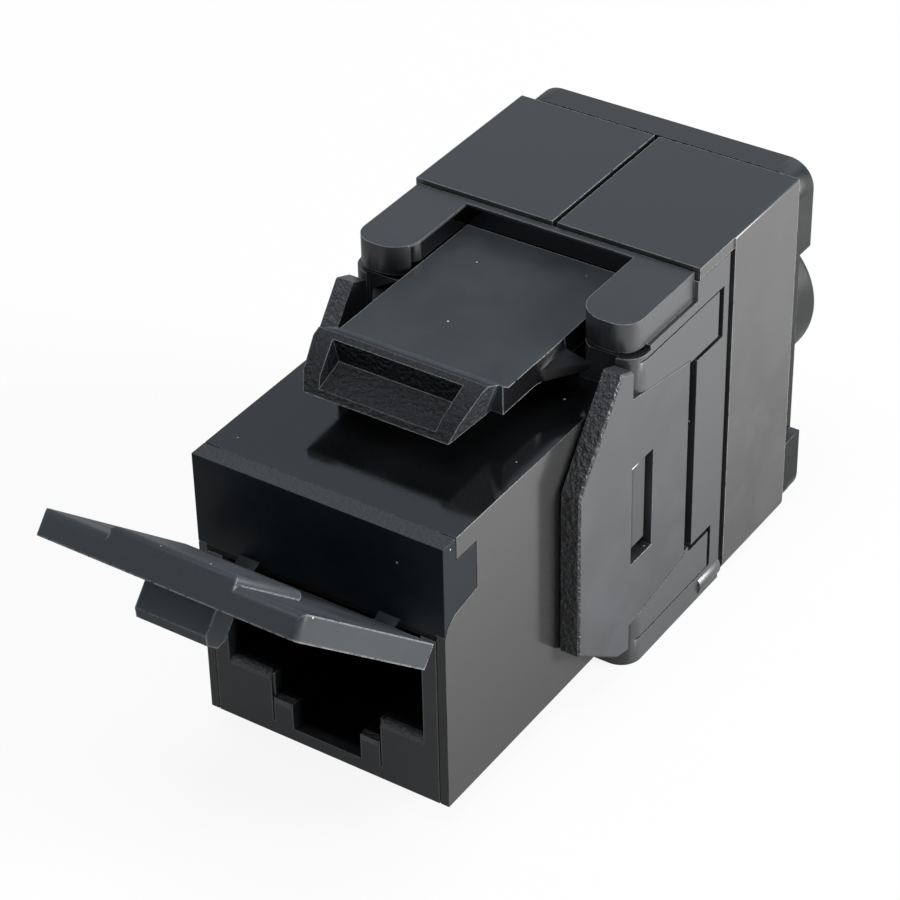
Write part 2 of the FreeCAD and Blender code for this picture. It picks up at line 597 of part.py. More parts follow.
def cover_pin():
    return rod_y(COVER_PIN_R, FRAME_REAR - COVER_PIN_SEAT, CAP_FRONT + COVER_PIN_SEAT,
                 COVER_PIN_X, COVER_PIN_Z)


def rear_cap():
    w, root = FRAME_HALF, CAP_FRONT + SINK
    plate = box(-w, w, CAP_FRONT, CAP_REAR, FRAME_BOTTOM, COVER_TOP)
    along = edges(plate, lambda p, e: near(abs(p.x), w) and not upright(e)
                  and not near(p.y, CAP_FRONT) and not near(p.y, CAP_REAR))
    plate = plate.makeFillet(CAP_R, along)
    notch = box(w - CAP_NOTCH, w + 1, CAP_FRONT - 1, CAP_REAR + 1, FRAME_BOTTOM + CAP_NOTCH_LOW,
                FRAME_TOP - CAP_NOTCH_HIGH)
    plate = plate.cut(both_sides(notch))
    collar = both_sides(rod_y(COLLAR_R, root, COLLAR_REAR, COLLAR_OFF, COLLAR_Z))
    collar = collar.fuse(box(-COLLAR_OFF, COLLAR_OFF, root, COLLAR_REAR,
                             COLLAR_Z - COLLAR_R, COLLAR_Z + COLLAR_R)).removeSplitter()
    collar = collar.makeFillet(COLLAR_EDGE_R, edges(collar, lambda p, e: near(p.y, COLLAR_REAR)))
    out = IDC_HALF_W - POST_IN
    posts = [box(out - POST_W, out, IDC_REAR, root, z, z + POST_W)
             for z in (IDC_TOP - POST_IN - POST_W, IDC_BOTTOM + POST_IN)]
    cap = plate.fuse(collar).fuse(both_sides(posts[0].fuse(posts[1])))
    cap = cap.cut(rod_y(CABLE_R, CAP_FRONT - 1, COLLAR_REAR + 1, 0, COLLAR_Z))
    pins = rod_y(COVER_PIN_R, CAP_FRONT - 1, CAP_FRONT + COVER_PIN_SEAT, COVER_PIN_X, COVER_PIN_Z)
    return cap.cut(both_sides(pins))


# ---------------------------------------------------------------- inner pieces
def contact_x(i):
    return (i - (CONTACTS - 1) / 2) * CONTACT_PITCH


def contact_route():
    """Side view of a contact: straight from the board, a bend, then down into the port."""
    run, tip = PANEL_LOW + CONTACT_RUN_Z, PANEL_LOW - CONTACT_TIP_DROP
    return [(BOARD_Y, run), (CONTACT_BEND_Y + CONTACT_BEND_RUN, run),
            (CONTACT_BEND_Y, run - CONTACT_BEND_DROP), (CONTACT_BEND_Y + CONTACT_LEAN, run - CONTACT_FALL),
            (CONTACT_TIP_Y - CONTACT_NOSE, tip), (CONTACT_TIP_Y, tip + CONTACT_NOSE_RISE)]


def contact_spring(i):
    x = contact_x(i)
    return prism_x(ribbon(contact_route(), CONTACT_T), x - CONTACT_W / 2, x + CONTACT_W / 2)


def contact_carrier():
    side = CARRIER_SIDE
    low, high = CEILING_TOP + FIT, ROOF_LOW - CARRIER_TOP_GAP
    body = box(-side, side, CARRIER_FRONT, INSERT_DEPTH, low, high)
    run = PANEL_LOW + CONTACT_RUN_Z
    for i in range(CONTACTS):
        x, half = contact_x(i), CONTACT_W / 2 + FIT
        body = body.cut(box(x - half, x + half, CONTACT_BEND_Y - CONTACT_T, INSERT_DEPTH + 1, low - 1,
                            run + CONTACT_T / 2 + FIT))
    return body


def circuit_board():
    half = SLEEVE_IN - BOARD_EDGE
    return box(-half, half, BOARD_Y, BOARD_Y + BOARD_THICK, FIT, ROOF_LOW - BOARD_EDGE)


def idc_rows():
    return [IDC_FIRST_Z + row * IDC_PITCH for row in range(IDC_ROWS)]


def idc_block():
    """Wire block: a spigot in the block's sleeve and four wire slots down each side."""
    w = IDC_HALF_W
    body = box(-w, w, IDC_FRONT, IDC_REAR, IDC_BOTTOM, IDC_TOP)
    spigot = box(-SLEEVE_IN + FIT, SLEEVE_IN - FIT, BOARD_Y + BOARD_THICK + FIT, IDC_FRONT,
                 FIT, ROOF_LOW - FIT)
    floor = box(-w, w, IDC_FRONT, CAP_FRONT - FIT, FRAME_BOTTOM + FLOOR_RAISE, IDC_BOTTOM + FIT)
    body = body.fuse(spigot).fuse(floor)
    for z in idc_rows():
        slot = box(w - WIRE_SLOT_DEEP, w + 1, IDC_FRONT + WIRE_SLOT_FRONT, IDC_REAR + 1,
                   z - WIRE_SLOT_H / 2, z + WIRE_SLOT_H / 2)
        blade = box(BLADE_X - FIT, w + 1, BLADE_Y - FIT, BLADE_Y + BLADE_T + FIT,
                    z - BLADE_H / 2 - FIT, z + BLADE_H / 2 + FIT)
        tail = box(BLADE_X - FIT, BLADE_X + TAIL_W + FIT, BOARD_Y, BLADE_Y + FIT,
                   z - TAIL_H / 2 - FIT, z + TAIL_H / 2 + FIT)
        body = body.cut(both_sides(slot.fuse(blade).fuse(tail)))
    return body


def idc_blade(z, side):
    """One forked blade, slotted for the wire, with its tail to the circuit board."""
    tip, kerf, half = IDC_HALF_W - BLADE_TIP_BACK, BLADE_KERF / 2, BLADE_H / 2
    mouth, root = tip - BLADE_MOUTH, tip - WIRE_SLOT_DEEP + BLADE_ROOT
    fork = [(BLADE_X, z - half), (tip, z - half), (tip, z - 3 * kerf), (mouth, z - kerf),
            (root, z - kerf), (root, z + kerf), (mouth, z + kerf), (tip, z + 3 * kerf),
            (tip, z + half), (BLADE_X, z + half)]
    blade = prism_y(fork, BLADE_Y, BLADE_Y + BLADE_T)
    tail = box(BLADE_X, BLADE_X + TAIL_W, BOARD_Y + BOARD_THICK, BLADE_Y + BLADE_T / 2,
               z - TAIL_H / 2, z + TAIL_H / 2)
    blade = blade.fuse(tail)
    return blade if side > 0 else mirrored(blade)


# ---------------------------------------------------------------- all pieces
os.makedirs("parts", exist_ok=True)
save("front_housing", front_housing())
save("port_insert", port_insert())
save("front_panel", front_panel())
save("dust_flap", dust_flap())
save("flap_hinge_pin", flap_hinge_pin())
save("keystone_frame", keystone_frame())
save("latch_lever", latch_lever())
save("right_side_clip", side_clip())
save("left_side_clip", mirrored(side_clip()))
save("right_cover", rear_cover())
save("left_cover", mirrored(rear_cover()))
save("right_cover_pin", cover_pin())
save("left_cover_pin", mirrored(cover_pin()))
save("rear_cap", rear_cap())
save("contact_carrier", contact_carrier())
save("circuit_board", circuit_board())
save("idc_block", idc_block())
for number in range(CONTACTS):
    save("contact_spring_%d" % (number + 1), contact_spring(number))
for number, height in enumerate(idc_rows()):
    save("right_idc_blade_%d" % (number + 1), idc_blade(height, 1))
    save("left_idc_blade_%d" % (number + 1), idc_blade(height, -1))
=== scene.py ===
# %% [markdown]
# A keystone jack is a small snap-in network socket. It is moulded in several black
# plastics: a glossy sleeve in front, a matte plug opening and dust flap, satin clips
# and a satin latch, and two smooth covers behind. Nearly everything is black, so the
# lesson here is how finish, rounded edges and reflections tell black parts apart.
#
# The solid pieces come from the CAD frame and stay where they are. Blender gives each
# one softened edges, a finish of its own, and the light that shows them.

# %% Load the frame
import bpy
import bmesh
import math
from mathutils import Matrix, Vector

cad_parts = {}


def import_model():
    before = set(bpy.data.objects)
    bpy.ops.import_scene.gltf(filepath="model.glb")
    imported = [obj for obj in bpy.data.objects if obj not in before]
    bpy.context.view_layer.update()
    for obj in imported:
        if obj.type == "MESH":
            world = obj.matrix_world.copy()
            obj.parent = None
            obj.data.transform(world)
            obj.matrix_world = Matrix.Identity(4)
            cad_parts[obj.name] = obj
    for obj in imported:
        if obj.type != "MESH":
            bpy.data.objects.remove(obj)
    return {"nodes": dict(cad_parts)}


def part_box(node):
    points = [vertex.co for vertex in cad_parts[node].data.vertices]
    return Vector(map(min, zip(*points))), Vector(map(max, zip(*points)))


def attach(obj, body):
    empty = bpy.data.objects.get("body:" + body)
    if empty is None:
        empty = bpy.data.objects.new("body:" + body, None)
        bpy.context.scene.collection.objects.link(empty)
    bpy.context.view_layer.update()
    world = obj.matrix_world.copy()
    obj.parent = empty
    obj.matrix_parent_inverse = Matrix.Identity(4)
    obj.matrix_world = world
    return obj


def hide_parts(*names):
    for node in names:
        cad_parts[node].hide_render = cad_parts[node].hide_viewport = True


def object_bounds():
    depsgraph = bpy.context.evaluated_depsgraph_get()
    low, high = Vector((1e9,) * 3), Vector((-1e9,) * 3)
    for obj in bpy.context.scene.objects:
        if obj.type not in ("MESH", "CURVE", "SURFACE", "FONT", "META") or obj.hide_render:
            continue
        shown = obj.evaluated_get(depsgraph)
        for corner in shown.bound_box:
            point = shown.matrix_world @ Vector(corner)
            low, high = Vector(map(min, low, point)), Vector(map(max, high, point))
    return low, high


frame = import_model()
cad_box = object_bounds()
MM = 0.001

# %% Points of reference
def low_mm(node):
    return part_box(node)[0] / MM


def high_mm(node):
    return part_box(node)[1] / MM


ROOF = high_mm("front_housing").z
FAR = 40.0
SIDE = 20.0
print("roof at z = %.1f mm, front face at y = %.1f mm" % (ROOF, low_mm("front_housing").y))

# %% [markdown]
# The camera is a long lens close to the jack, looking down on its right side. A long
# lens keeps the edges nearly parallel, as in a catalogue picture. It is placed by
# azimuth, elevation, distance and a small roll about a point on the jack, because those
# four numbers are easy to read and to change.

# %% Camera
def camera_at(target, azimuth, elevation, distance, roll, lens):
    az, el = math.radians(azimuth), math.radians(elevation)
    forward = Vector((-math.sin(az) * math.cos(el), math.cos(az) * math.cos(el), -math.sin(el)))
    data = bpy.data.cameras.new("camera")
    data.lens = lens
    data.sensor_width = 36
    data.clip_start = 0.01
    data.clip_end = 10
    camera = bpy.data.objects.new("camera", data)
    tilt = Matrix.Rotation(math.radians(roll), 4, "Z").to_quaternion()
    turn = forward.to_track_quat("-Z", "Y") @ tilt
    camera.matrix_world = Matrix.Translation(target - forward * distance) @ turn.to_matrix().to_4x4()
    bpy.context.scene.collection.objects.link(camera)
    bpy.context.scene.camera = camera
    return camera


CAMERA_TARGET = Vector((0.17, -8.6, 13.39)) * MM
camera = camera_at(CAMERA_TARGET, 34.11, 35.53, 153.0 * MM, -1.25, 122.2)
print("camera at", [round(c / MM, 1) for c in camera.location])

# %% [markdown]
# Shader groups hold the effects that several plastics share, each with named inputs.
# They read the Object coordinate, so a pattern stays on a piece when the piece turns on
# its hinge. Sizes are typed in millimetres, and the group scales them.

# %% A helper for shader groups
def group(name, inputs, outputs):
    tree = bpy.data.node_groups.new(name, "ShaderNodeTree")
    for label, value in inputs:
        kind = "NodeSocketVector" if isinstance(value, tuple) else "NodeSocketFloat"
        socket = tree.interface.new_socket(label, in_out="INPUT", socket_type=kind)
        socket.default_value = value
    for label, kind in outputs:
        tree.interface.new_socket(label, in_out="OUTPUT", socket_type=kind)
    return tree, tree.nodes.new("NodeGroupInput"), tree.nodes.new("NodeGroupOutput")


def math_node(tree, operation, a, b=None, c=None, clamp=False):
    node = tree.nodes.new("ShaderNodeMath")
    node.operation = operation
    node.use_clamp = clamp
    for slot, value in enumerate((a, b, c)):
        if value is None:
            continue
        if isinstance(value, (int, float)):
            node.inputs[slot].default_value = value
        else:
            tree.links.new(value, node.inputs[slot])
    return node.outputs[0]


def object_mm(tree):
    """The Object coordinate in millimetres."""
    coord = tree.nodes.new("ShaderNodeTexCoord")
    scale = tree.nodes.new("ShaderNodeVectorMath")
    scale.operation = "SCALE"
    scale.inputs["Scale"].default_value = 1 / MM
    tree.links.new(coord.outputs["Object"], scale.inputs[0])
    return scale.outputs[0]


def smooth_step(tree, value, low, high):
    node = tree.nodes.new("ShaderNodeMapRange")
    node.interpolation_type = "SMOOTHSTEP"
    for label, item in (("Value", value), ("From Min", low), ("From Max", high)):
        if isinstance(item, (int, float)):
            node.inputs[label].default_value = item
        else:
            tree.links.new(item, node.inputs[label])
    return node.outputs["Result"]


print("helpers ready")

# %% [markdown]
# Grain is the spark-eroded texture of a mould. It could be one noise, but real moulds
# show two scales: a fine tooth and a slower waviness that bends reflections. The group
# adds both and puts out a height for a Bump node.

# %% Group: mould grain
def make_grain():
    tree, gin, gout = group("mould grain", [("Size", 0.12), ("Tooth", 1.0), ("Wave", 0.3)],
                            [("Height", "NodeSocketFloat")])
    place = object_mm(tree)
    fine = tree.nodes.new("ShaderNodeTexNoise")
    fine.inputs["Detail"].default_value = 3
    fine.inputs["Roughness"].default_value = 0.6
    tree.links.new(place, fine.inputs["Vector"])
    tree.links.new(math_node(tree, "DIVIDE", 1.0, gin.outputs["Size"]), fine.inputs["Scale"])
    slow = tree.nodes.new("ShaderNodeTexNoise")
    slow.inputs["Scale"].default_value = 0.55
    slow.inputs["Detail"].default_value = 1
    tree.links.new(place, slow.inputs["Vector"])
    tooth = math_node(tree, "MULTIPLY", fine.outputs[0], gin.outputs["Tooth"])
    total = math_node(tree, "MULTIPLY_ADD", slow.outputs[0], gin.outputs["Wave"], tooth)
    tree.links.new(total, gout.inputs["Height"])
    return tree


GRAIN = make_grain()
print("group:", GRAIN.name)

# %% [markdown]
# Small white specks of dust and flash sit on every black moulding. A Voronoi texture
# gives one cell per possible speck, its colour decides which cells have one, and the
# distance to the cell's point makes the dot.

# %% Group: specks
def make_specks():
    tree, gin, gout = group("specks", [("Spacing", 1.0), ("Share", 0.2), ("Radius", 0.05)],
                            [("Mask", "NodeSocketFloat")])
    place = object_mm(tree)
    cells = tree.nodes.new("ShaderNodeTexVoronoi")
    tree.links.new(place, cells.inputs["Vector"])
    tree.links.new(math_node(tree, "DIVIDE", 1.0, gin.outputs["Spacing"]), cells.inputs["Scale"])
    parts = tree.nodes.new("ShaderNodeSeparateColor")
    tree.links.new(cells.outputs["Color"], parts.inputs[0])
    chosen = math_node(tree, "LESS_THAN", parts.outputs[0], gin.outputs["Share"])
    reach = math_node(tree, "DIVIDE", gin.outputs["Radius"], gin.outputs["Spacing"])
    size = math_node(tree, "MULTIPLY", reach, parts.outputs[1])
    dot = math_node(tree, "LESS_THAN", cells.outputs["Distance"], size)
    tree.links.new(math_node(tree, "MULTIPLY", dot, chosen), gout.inputs["Mask"])
    return tree


SPECKS = make_specks()
print("group:", SPECKS.name)

# %% [markdown]
# Some finishes cover only part of a piece: the eroded lip of the latch, the inside of
# the port. A box in millimetres, soft at its edges, is the simplest mask for them, and
# it can be read and changed as six numbers. A second mask picks faces by the way they
# look, such as the sloping front of a clip.

# %% Groups: zone and facing
def make_zone():
    inputs = [("Low", (0.0, 0.0, 0.0)), ("High", (1.0, 1.0, 1.0)), ("Soft", 0.1)]
    tree, gin, gout = group("zone", inputs, [("Mask", "NodeSocketFloat")])
    split = []
    for source in (object_mm(tree), gin.outputs["Low"], gin.outputs["High"]):
        node = tree.nodes.new("ShaderNodeSeparateXYZ")
        tree.links.new(source, node.inputs[0])
        split.append(node.outputs)
    mask = None
    for axis in range(3):
        place, low, high = (outputs[axis] for outputs in split)
        rise = smooth_step(tree, place, low, math_node(tree, "ADD", low, gin.outputs["Soft"]))
        fall = smooth_step(tree, place, math_node(tree, "SUBTRACT", high, gin.outputs["Soft"]), high)
        slab = math_node(tree, "SUBTRACT", rise, fall, clamp=True)
        mask = slab if mask is None else math_node(tree, "MULTIPLY", mask, slab)
    tree.links.new(mask, gout.inputs["Mask"])
    return tree


def make_facing():
    tree, gin, gout = group("facing", [("Way", (0.0, 0.0, 1.0)), ("From", 0.4), ("To", 0.6)],
                            [("Mask", "NodeSocketFloat")])
    coord = tree.nodes.new("ShaderNodeTexCoord")
    dot = tree.nodes.new("ShaderNodeVectorMath")
    dot.operation = "DOT_PRODUCT"
    tree.links.new(coord.outputs["Normal"], dot.inputs[0])
    tree.links.new(gin.outputs["Way"], dot.inputs[1])
    mask = smooth_step(tree, dot.outputs["Value"], gin.outputs["From"], gin.outputs["To"])
    tree.links.new(mask, gout.inputs["Mask"])
    return tree


ZONE = make_zone()
FACING = make_facing()
print("groups:", ZONE.name, FACING.name)

# %% [markdown]
# Black plastic wears white along its edges and keeps a thin flash line where the mould
# closed. The same pale line also stands in for the bright line that a rounded edge
# catches from the lamps, so it is partly painted highlight. The Bevel node gives the
# normal that a rounded edge would have, so where it differs from the shading normal there
# is an edge. Noise breaks the line up, because a whole even outline looks drawn.

# %% Group: edge wear and painted highlight
def make_wear_and_highlight():
    tree, gin, gout = group("edge wear", [("Width", 0.1), ("Grit", 0.4), ("Share", 0.5)],
                            [("Mask", "NodeSocketFloat")])
    rounded = tree.nodes.new("ShaderNodeBevel")
    rounded.samples = 6
    tree.links.new(math_node(tree, "MULTIPLY", gin.outputs["Width"], MM), rounded.inputs["Radius"])
    flat = tree.nodes.new("ShaderNodeNewGeometry")
    dot = tree.nodes.new("ShaderNodeVectorMath")
    dot.operation = "DOT_PRODUCT"
    tree.links.new(rounded.outputs[0], dot.inputs[0])
    tree.links.new(flat.outputs["Normal"], dot.inputs[1])
    edge = smooth_step(tree, math_node(tree, "SUBTRACT", 1.0, dot.outputs["Value"]), 0.01, 0.12)
    grit = tree.nodes.new("ShaderNodeTexNoise")
    grit.inputs["Detail"].default_value = 5
    grit.inputs["Roughness"].default_value = 0.7
    tree.links.new(object_mm(tree), grit.inputs["Vector"])
    tree.links.new(math_node(tree, "DIVIDE", 1.0, gin.outputs["Grit"]), grit.inputs["Scale"])
    limit = math_node(tree, "MULTIPLY_ADD", gin.outputs["Share"], -0.4, 0.7)
    worn = smooth_step(tree, grit.outputs[0], math_node(tree, "SUBTRACT", limit, 0.06), limit)
    tree.links.new(math_node(tree, "MULTIPLY", edge, worn), gout.inputs["Mask"])
    return tree


WEAR_AND_HIGHLIGHT = make_wear_and_highlight()
print("group:", WEAR_AND_HIGHLIGHT.name)

# %% [markdown]
# Fingers leave soft dull patches and a few hairlines on gloss. A stretched noise makes
# the hairlines and a broad one makes the patches. The result drives roughness only, so
# the black stays black and just the reflection changes.

# %% Group: handling
def make_handling():
    tree, gin, gout = group("handling", [("Patch", 3.0), ("Low", 0.2), ("High", 0.4)],
                            [("Roughness", "NodeSocketFloat"), ("Patches", "NodeSocketFloat")])
    place = object_mm(tree)
    broad = tree.nodes.new("ShaderNodeTexNoise")
    broad.inputs["Detail"].default_value = 4
    broad.inputs["Distortion"].default_value = 0.4
    tree.links.new(place, broad.inputs["Vector"])
    tree.links.new(math_node(tree, "DIVIDE", 1.0, gin.outputs["Patch"]), broad.inputs["Scale"])
    patches = smooth_step(tree, broad.outputs[0], 0.35, 0.65)
    lines = tree.nodes.new("ShaderNodeTexNoise")
    lines.inputs["Scale"].default_value = 1.0
    lines.inputs["Detail"].default_value = 2
    stretch = tree.nodes.new("ShaderNodeMapping")
    stretch.inputs["Rotation"].default_value = (0.3, 0.2, 0.5)
    stretch.inputs["Scale"].default_value = (0.25, 6.0, 6.0)
    tree.links.new(place, stretch.inputs["Vector"])
    tree.links.new(stretch.outputs[0], lines.inputs["Vector"])
    hair = smooth_step(tree, lines.outputs[0], 0.62, 0.72)
    mix = math_node(tree, "MULTIPLY_ADD", hair, 0.25, patches, clamp=True)
    span = math_node(tree, "SUBTRACT", gin.outputs["High"], gin.outputs["Low"])
    rough = math_node(tree, "MULTIPLY_ADD", mix, span, gin.outputs["Low"])
    tree.links.new(rough, gout.inputs["Roughness"])
    tree.links.new(patches, gout.inputs["Patches"])
    return tree


HANDLING = make_handling()
print("group:", HANDLING.name)

# %% [markdown]
# One function makes every moulded plastic: a dark colour, roughness from the handling
# group, bump from the grain group and pale specks on top. Each finish is then one call
# with its own numbers, which keeps them easy to compare side by side.

# %% Moulded plastic
def place_group(nodes, tree, **values):
    node = nodes.new("ShaderNodeGroup")
    node.node_tree = tree
    for label, value in values.items():
        node.inputs[label].default_value = value
    return node


def plastic(name, colour, low, high, patch=3.0, grain=0.12, tooth=1.0, wave=0.3, bump=0.2,
            lift=1.25, share=0.25, specular=0.5):
    material = bpy.data.materials.new(name)
    material.use_nodes = True
    tree = material.node_tree
    shader = tree.nodes["Principled BSDF"]
    shader.inputs["Specular IOR Level"].default_value = specular
    marks = place_group(tree.nodes, HANDLING, Patch=patch, Low=low, High=high)
    tree.links.new(marks.outputs["Roughness"], shader.inputs["Roughness"])
    specks = place_group(tree.nodes, SPECKS, Spacing=0.9, Share=share, Radius=0.075)
    tint = tree.nodes.new("ShaderNodeMix")
    tint.data_type = "RGBA"
    tint.inputs["A"].default_value = (*colour, 1)
    tint.inputs["B"].default_value = (*[c * lift for c in colour], 1)
    tree.links.new(marks.outputs["Patches"], tint.inputs["Factor"])
    dusty = tree.nodes.new("ShaderNodeMix")
    dusty.data_type = "RGBA"
    dusty.inputs["B"].default_value = (0.55, 0.55, 0.54, 1)
    tree.links.new(tint.outputs["Result"], dusty.inputs["A"])
    tree.links.new(specks.outputs["Mask"], dusty.inputs["Factor"])
    tree.links.new(dusty.outputs["Result"], shader.inputs["Base Color"])
    texture = place_group(tree.nodes, GRAIN, Size=grain, Tooth=tooth, Wave=wave)
    relief = tree.nodes.new("ShaderNodeBump")
    relief.inputs["Strength"].default_value = bump
    relief.inputs["Distance"].default_value = 0.05 * MM
    tree.links.new(texture.outputs["Height"], relief.inputs["Height"])
    tree.links.new(relief.outputs["Normal"], shader.inputs["Normal"])
    return material


GLOSS = plastic("polished black", (0.004, 0.0043, 0.0048), 0.08, 0.14, bump=0.04, specular=0.62)
COVER = plastic("cover black", (0.034, 0.034, 0.033), 0.30, 0.42, bump=0.08, specular=0.8)
SATIN = plastic("satin black", (0.017, 0.018, 0.020), 0.32, 0.42, bump=0.1, specular=0.8)
CAP = plastic("cap black", (0.0035, 0.005, 0.0048), 0.30, 0.40, bump=0.1, specular=0.25)
LATCH = plastic("latch black", (0.033, 0.038, 0.042), 0.35, 0.45, bump=0.1, specular=0.25)
CLIP = plastic("clip black", (0.027, 0.028, 0.031), 0.32, 0.42, bump=0.1, specular=0.8)
PANEL = plastic("panel black", (0.007, 0.010, 0.013), 0.40, 0.48, bump=0.2, specular=0.15)
PORT = plastic("port grey black", (0.016, 0.017, 0.0185), 0.38, 0.5, bump=0.35)
FLAP = plastic("flap grey black", (0.021, 0.026, 0.030), 0.45, 0.58, bump=0.3, specular=0.4)
INNER = plastic("inner black", (0.02, 0.02, 0.021), 0.4, 0.55, bump=0.25)
print("plastics:", [m.name for m in bpy.data.materials if m.use_nodes][-6:])

# %% [markdown]
# The latch's lip, the clips' sloping fronts and the top bevel of the front insert keep
# the coarse tooth of an eroded mould. It is the same plastic, so one function adds it to
# a finish: through a mask it mixes in another colour and roughness, and a deeper bump
# where one is asked for. The same function lays on wear with painted edge highlights,
# and the painted light and shade on chosen faces.

# %% Add a second surface through a mask
def overlay(material, mask, colour, roughness, depth=0.0, grain=0.2):
    tree = material.node_tree
    shader = tree.nodes["Principled BSDF"]
    for label, value in (("Base Color", (*colour, 1)), ("Roughness", roughness)):
        mix = tree.nodes.new("ShaderNodeMix")
        mix.data_type = "RGBA" if label == "Base Color" else "FLOAT"
        ends = [socket for socket in mix.inputs if socket.enabled]
        tree.links.new(mask, ends[0])
        tree.links.new(shader.inputs[label].links[0].from_socket, ends[1])
        ends[2].default_value = value
        tree.links.new([socket for socket in mix.outputs if socket.enabled][0], shader.inputs[label])
    if depth:
        texture = place_group(tree.nodes, GRAIN, Size=grain, Tooth=1.0, Wave=0.0)
        coarse = tree.nodes.new("ShaderNodeBump")
        coarse.inputs["Distance"].default_value = depth * MM
        height = math_node(tree, "MULTIPLY", texture.outputs["Height"], mask)
        tree.links.new(height, coarse.inputs["Height"])
        tree.links.new(shader.inputs["Normal"].links[0].from_socket, coarse.inputs["Normal"])
        tree.links.new(coarse.outputs["Normal"], shader.inputs["Normal"])


def zone(material, low, high, soft=0.1):
    """Mask of a box in millimetres, in the frame that the pieces share."""
    node = place_group(material.node_tree.nodes, ZONE, Low=low, High=high, Soft=soft)
    return node.outputs["Mask"]


def facing(material, way, start=0.4, end=0.6):
    node = place_group(material.node_tree.nodes, FACING, Way=way, From=start, To=end)
    return node.outputs["Mask"]


def both(material, first, second):
    return math_node(material.node_tree, "MULTIPLY", first, second)


def wear_and_highlight(material, width, grit, share):
    node = place_group(material.node_tree.nodes, WEAR_AND_HIGHLIGHT, Width=width, Grit=grit, Share=share)
    return node.outputs["Mask"]


# Near-black colour for painted shade on the latch.
PAINTED_SHADE = (0.003, 0.003, 0.0035)
print("masks: zone, facing, edge wear")

# %% [markdown]
# The latch's finger lip keeps a coarse eroded tooth for grip. Its scoop, right flank and
# barbs carry painted shade: a near-black colour laid over the finish of its top. They
# could be pieces of their own, but on the real moulding they are one, so masks measured
# from the lip's front edge pick them out.

# %% Latch surfaces
lip_y = low_mm("latch_lever").y
lip = zone(LATCH, (-SIDE, lip_y - 1, 0), (SIDE, lip_y + 3.3, FAR), 0.25)
overlay(LATCH, lip, (0.018, 0.019, 0.021), 0.4, 0.32, 0.28)
# Painted shade on the right flank and on the scoop.
flank_shade = both(LATCH, facing(LATCH, (1, 0, 0), 0.5, 0.8),
             zone(LATCH, (0, lip_y + 3.6, 0), (SIDE, FAR, FAR)))
overlay(LATCH, flank_shade, PAINTED_SHADE, 0.3)
scoop_shade = both(LATCH, facing(LATCH, (0, -1, 0), 0.7, 0.9),
             zone(LATCH, (-4.2, lip_y + 1.2, 0), (4.2, lip_y + 2.6, FAR)))
overlay(LATCH, scoop_shade, PAINTED_SHADE, 0.3)
overlay(LATCH, wear_and_highlight(LATCH, 0.08, 0.3, 0.7), (0.30, 0.31, 0.32), 0.5)
# Painted shade on the barbs' tops.
BARB_NEAR, BARB_FAR = 4.96, 9.0
for side in (-1, 1):
    near_x, far_x = sorted((BARB_NEAR * side, BARB_FAR * side))
    barb_shade = zone(LATCH, (near_x, lip_y + 4.4, 0), (far_x, FAR, FAR), 0.05)
    overlay(LATCH, barb_shade, PAINTED_SHADE, 0.3)
print("latch: lip, flank, scoop, wear and barbs")

# %% [markdown]
# The clips' front edges slope and carry the same coarse tooth, and a darker colour on
# them is painted shade. A facing mask finds every face that looks forwards, and a zone
# keeps only those near the clip's front.

# %% Clip surfaces
clip_y = low_mm("right_side_clip").y
slope = both(CLIP, facing(CLIP, (0, -1, 0), 0.15, 0.35),
             zone(CLIP, (-SIDE, clip_y - 1, 0), (SIDE, clip_y + 4.9, FAR)))
# The darker colour here is painted shade; the bump is the coarse tooth.
overlay(CLIP, slope, (0.006, 0.006, 0.007), 0.45, 0.22, 0.28)
overlay(CLIP, wear_and_highlight(CLIP, 0.06, 0.25, 0.65), (0.38, 0.38, 0.39), 0.5)
print("clips: sloping fronts and wear")

# %% [markdown]
# The front insert's bevel along its top is given a paler colour, which is painted light,
# and its lowest strip, with the eyes that hold the flap's pin, is painted near black,
# which is painted shade under the flap. The strip is set from the insert's own box and
# the bevel from the roof's height, so both stay in place if those sizes change.

# %% Front insert surfaces
# Painted light: a paler colour on the top bevel, with a coarse bump.
bevel = both(PANEL, facing(PANEL, (0, -0.3, 1), 0.45, 0.6),
             zone(PANEL, (-SIDE, -FAR, ROOF - 1.2), (SIDE, FAR, FAR)))
overlay(PANEL, bevel, (0.045, 0.050, 0.054), 0.5, 0.08, 0.18)
overlay(PANEL, wear_and_highlight(PANEL, 0.06, 0.3, 0.6), (0.12, 0.13, 0.13), 0.5)
# Painted shade: the lowest strip with the eyes is near black.
shaded_strip_high = (SIDE, high_mm("front_panel").y, low_mm("front_panel").z + 1.1)
overlay(PANEL, zone(PANEL, (-SIDE, -FAR, 0), shaded_strip_high, 0.05), (0.001, 0.001, 0.001), 0.6)
print("front insert: bevel, wear and eyes")

# %% [markdown]
# Light hardly reaches into the plug opening, so its walls behind the rim carry painted
# shade, a darker colour. The rim itself is scuffed by plugs, and the front tops of the
# shoulders beside the latch slot carry a painted highlight, given below as pairs of
# widths with their heights.

# %% Port surfaces
port_y = low_mm("port_insert").y
# Painted shade inside the opening.
overlay(PORT, zone(PORT, (-SIDE, port_y + 0.35, 0), (SIDE, FAR, FAR), 0.5), (0.002, 0.002, 0.002), 0.25)
front = zone(PORT, (-SIDE, -FAR, 0), (SIDE, port_y + 0.5, FAR))
overlay(PORT, both(PORT, wear_and_highlight(PORT, 0.12, 0.25, 0.8), front), (0.13, 0.135, 0.135), 0.6, 0.05, 0.2)
